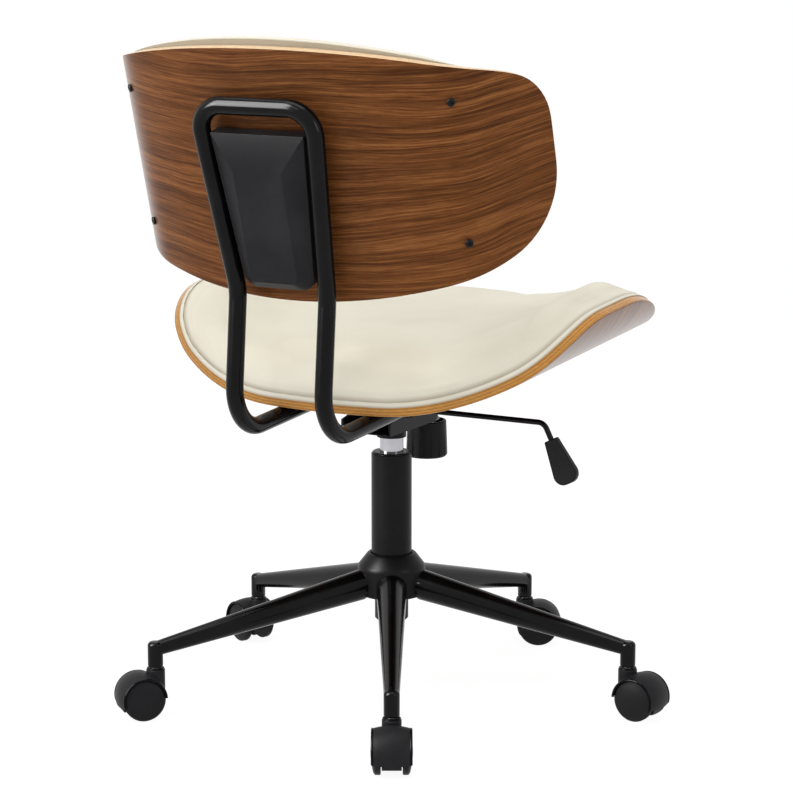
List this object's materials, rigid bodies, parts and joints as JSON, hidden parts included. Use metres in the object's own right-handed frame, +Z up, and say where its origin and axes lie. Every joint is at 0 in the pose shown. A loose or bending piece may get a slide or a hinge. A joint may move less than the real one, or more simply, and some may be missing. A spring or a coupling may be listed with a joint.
{
  "type": "office chair",
  "caption": "Armless swivel office chair: bent-ply seat and backrest with leather pads, tube back frame, tilt mechanism, gas lift column and a star base on casters.",
  "frame": {"origin": "on the floor under the column's axis", "axes": "+Z up; -Y is the front, where the sitter faces; -X is the sitter's right, the lever's side"},
  "size_m": [0.6434, 0.6367, 0.7928],
  "materials": {
    "walnut_ply": "satin lacquer, walnut face veneer, pale ply edge",
    "cream_leather": "soft grained",
    "black_powder": "gloss black powder coat",
    "column_paint": "satin black paint",
    "bright_steel": "polished",
    "plain_steel": "zinc plated",
    "dark_screw": "black oxide",
    "cover_plastic": "matte moulded",
    "caster_plastic": "matte moulded",
    "wheel_plastic": "matte moulded",
    "knob_plastic": "matte moulded",
    "bush_plastic": "smooth",
    "bump_rubber": "matte"
  },
  "bodies": {
    "base": {"base_hub": "black_powder", "base_leg_1": "black_powder", "base_leg_2": "black_powder", "base_leg_3": "black_powder", "base_leg_4": "black_powder", "base_leg_5": "black_powder", "column_tube": "column_paint", "guide_bush": "bush_plastic", "thrust_bearing": "plain_steel"},
    "rod": {"piston_rod": "bright_steel", "retaining_clip": "plain_steel", "bump_ring": "bump_rubber"},
    "lift": {"gas_cylinder": "bright_steel", "tilt_housing": "column_paint", "pivot_pin": "plain_steel"},
    "button": {"release_button": "plain_steel"},
    "lever_pivot": {"lever_bush": "bush_plastic"},
    "lever": {"lever_rod": "black_powder", "lever_grip": "cover_plastic"},
    "seat": {"seat_plate": "column_paint", "tension_bolt": "plain_steel", "loop_frame": "black_powder", "seat_shell": "walnut_ply", "seat_pad": "cream_leather", "back_shell": "walnut_ply", "back_pad": "cream_leather", "seat_bolts": "dark_screw", "t_nuts": "plain_steel", "back_bracket": "black_powder", "back_cover": "cover_plastic", "back_screws": "dark_screw", "bracket_bolts": "dark_screw"},
    "spring_carrier": {"spring_seat": "plain_steel", "tension_spring": "plain_steel"},
    "knob": {"tension_knob": "knob_plastic"},
    "caster_1": {"caster_1_hood": "caster_plastic", "caster_1_stem": "plain_steel", "caster_1_axle": "plain_steel"},
    "caster_1_wheel_a": {"caster_1_wheel_a": "wheel_plastic"},
    "caster_1_wheel_b": {"caster_1_wheel_b": "wheel_plastic"},
    "caster_2": {"caster_2_hood": "caster_plastic", "caster_2_stem": "plain_steel", "caster_2_axle": "plain_steel"},
    "caster_2_wheel_a": {"caster_2_wheel_a": "wheel_plastic"},
    "caster_2_wheel_b": {"caster_2_wheel_b": "wheel_plastic"},
    "caster_3": {"caster_3_hood": "caster_plastic", "caster_3_stem": "plain_steel", "caster_3_axle": "plain_steel"},
    "caster_3_wheel_a": {"caster_3_wheel_a": "wheel_plastic"},
    "caster_3_wheel_b": {"caster_3_wheel_b": "wheel_plastic"},
    "caster_4": {"caster_4_hood": "caster_plastic", "caster_4_stem": "plain_steel", "caster_4_axle": "plain_steel"},
    "caster_4_wheel_a": {"caster_4_wheel_a": "wheel_plastic"},
    "caster_4_wheel_b": {"caster_4_wheel_b": "wheel_plastic"},
    "caster_5": {"caster_5_hood": "caster_plastic", "caster_5_stem": "plain_steel", "caster_5_axle": "plain_steel"},
    "caster_5_wheel_a": {"caster_5_wheel_a": "wheel_plastic"},
    "caster_5_wheel_b": {"caster_5_wheel_b": "wheel_plastic"}
  },
  "joints": [
    {"name": "seat_swivel", "type": "hinge", "parent": "base", "child": "rod", "pos_m": [0, 0, 0.2], "axis": [0, 0, 1], "continuous": true},
    {"name": "height", "type": "slide", "parent": "rod", "child": "lift", "axis": [0, 0, 1], "range_m": [0, 0.085]},
    {"name": "release", "type": "slide", "parent": "lift", "child": "button", "axis": [0, 0, -1], "range_m": [0, 0.00274], "stiffness_N_per_m": 600},
    {"name": "lever_rock", "type": "hinge", "parent": "lift", "child": "lever_pivot", "pos_m": [-0.0315, 0, 0.351], "axis": [0, 1, 0], "range_deg": [0, 5.5]},
    {"name": "lever_slide", "type": "slide", "parent": "lever_pivot", "child": "lever", "axis": [1, 0, 0], "range_m": [0, 0.008]},
    {"name": "tilt", "type": "hinge", "parent": "lift", "child": "seat", "pos_m": [0, -0.0384, 0.3621], "axis": [-1, 0, 0], "range_deg": [0, 9], "stiffness_Nm_per_rad": 60, "springref_deg": -14.32, "deforming": ["tension_spring"]},
    {"name": "knob_slide", "type": "slide", "parent": "seat", "child": "spring_carrier", "axis": [0, 0, 1], "range_m": [-0.003, 0.002], "deforming": ["tension_spring"]},
    {"name": "knob_turn", "type": "hinge", "parent": "spring_carrier", "child": "knob", "pos_m": [0, -0.088, 0.3], "axis": [0, 0, 1], "range_deg": [-725, 485]},
    {"name": "caster_1_swivel", "type": "hinge", "parent": "base", "child": "caster_1", "pos_m": [-0.14059, 0.25364, 0.06], "axis": [0, 0, 1], "continuous": true},
    {"name": "caster_1_roll_a", "type": "hinge", "parent": "caster_1", "child": "caster_1_wheel_a", "pos_m": [-0.14932, 0.26938, 0.025], "axis": [-0.8746, -0.4848, 0], "continuous": true},
    {"name": "caster_1_roll_b", "type": "hinge", "parent": "caster_1", "child": "caster_1_wheel_b", "pos_m": [-0.14932, 0.26938, 0.025], "axis": [-0.8746, -0.4848, 0], "continuous": true},
    {"name": "caster_2_swivel", "type": "hinge", "parent": "base", "child": "caster_2", "pos_m": [-0.28467, -0.05534, 0.06], "axis": [0, 0, 1], "continuous": true},
    {"name": "caster_2_roll_a", "type": "hinge", "parent": "caster_2", "child": "caster_2_wheel_a", "pos_m": [-0.30257, -0.05345, 0.025], "axis": [-0.1045, -0.9945, 0], "continuous": true},
    {"name": "caster_2_roll_b", "type": "hinge", "parent": "caster_2", "child": "caster_2_wheel_b", "pos_m": [-0.30257, -0.05345, 0.025], "axis": [-0.1045, -0.9945, 0], "continuous": true},
    {"name": "caster_3_swivel", "type": "hinge", "parent": "base", "child": "caster_3", "pos_m": [-0.03534, -0.28784, 0.06], "axis": [0, 0, 1], "continuous": true},
    {"name": "caster_3_roll_a", "type": "hinge", "parent": "caster_3", "child": "caster_3_wheel_a", "pos_m": [-0.05191, -0.29487, 0.025], "axis": [0.3907, -0.9205, 0], "continuous": true},
    {"name": "caster_3_roll_b", "type": "hinge", "parent": "caster_3", "child": "caster_3_wheel_b", "pos_m": [-0.05191, -0.29487, 0.025], "axis": [0.3907, -0.9205, 0], "continuous": true},
    {"name": "caster_4_swivel", "type": "hinge", "parent": "base", "child": "caster_4", "pos_m": [0.26283, -0.12256, 0.06], "axis": [0, 0, 1], "continuous": true},
    {"name": "caster_4_roll_a", "type": "hinge", "parent": "caster_4", "child": "caster_4_wheel_a", "pos_m": [0.27887, -0.13073, 0.025], "axis": [0.454, 0.891, 0], "continuous": true},
    {"name": "caster_4_roll_b", "type": "hinge", "parent": "caster_4", "child": "caster_4_wheel_b", "pos_m": [0.27887, -0.13073, 0.025], "axis": [0.454, 0.891, 0], "continuous": true},
    {"name": "caster_5_swivel", "type": "hinge", "parent": "base", "child": "caster_5", "pos_m": [0.19778, 0.21209, 0.06], "axis": [0, 0, 1], "continuous": true},
    {"name": "caster_5_roll_a", "type": "hinge", "parent": "caster_5", "child": "caster_5_wheel_a", "pos_m": [0.20959, 0.22568, 0.025], "axis": [-0.7547, 0.6561, 0], "continuous": true},
    {"name": "caster_5_roll_b", "type": "hinge", "parent": "caster_5", "child": "caster_5_wheel_b", "pos_m": [0.20959, 0.22568, 0.025], "axis": [-0.7547, 0.6561, 0], "continuous": true}
  ],
  "couplings": [
    {"joint": "lever_rock", "follows": "release", "rad_per_m": 31.746},
    {"joint": "knob_turn", "follows": "knob_slide", "rad_per_m": 4188.8}
  ]
}
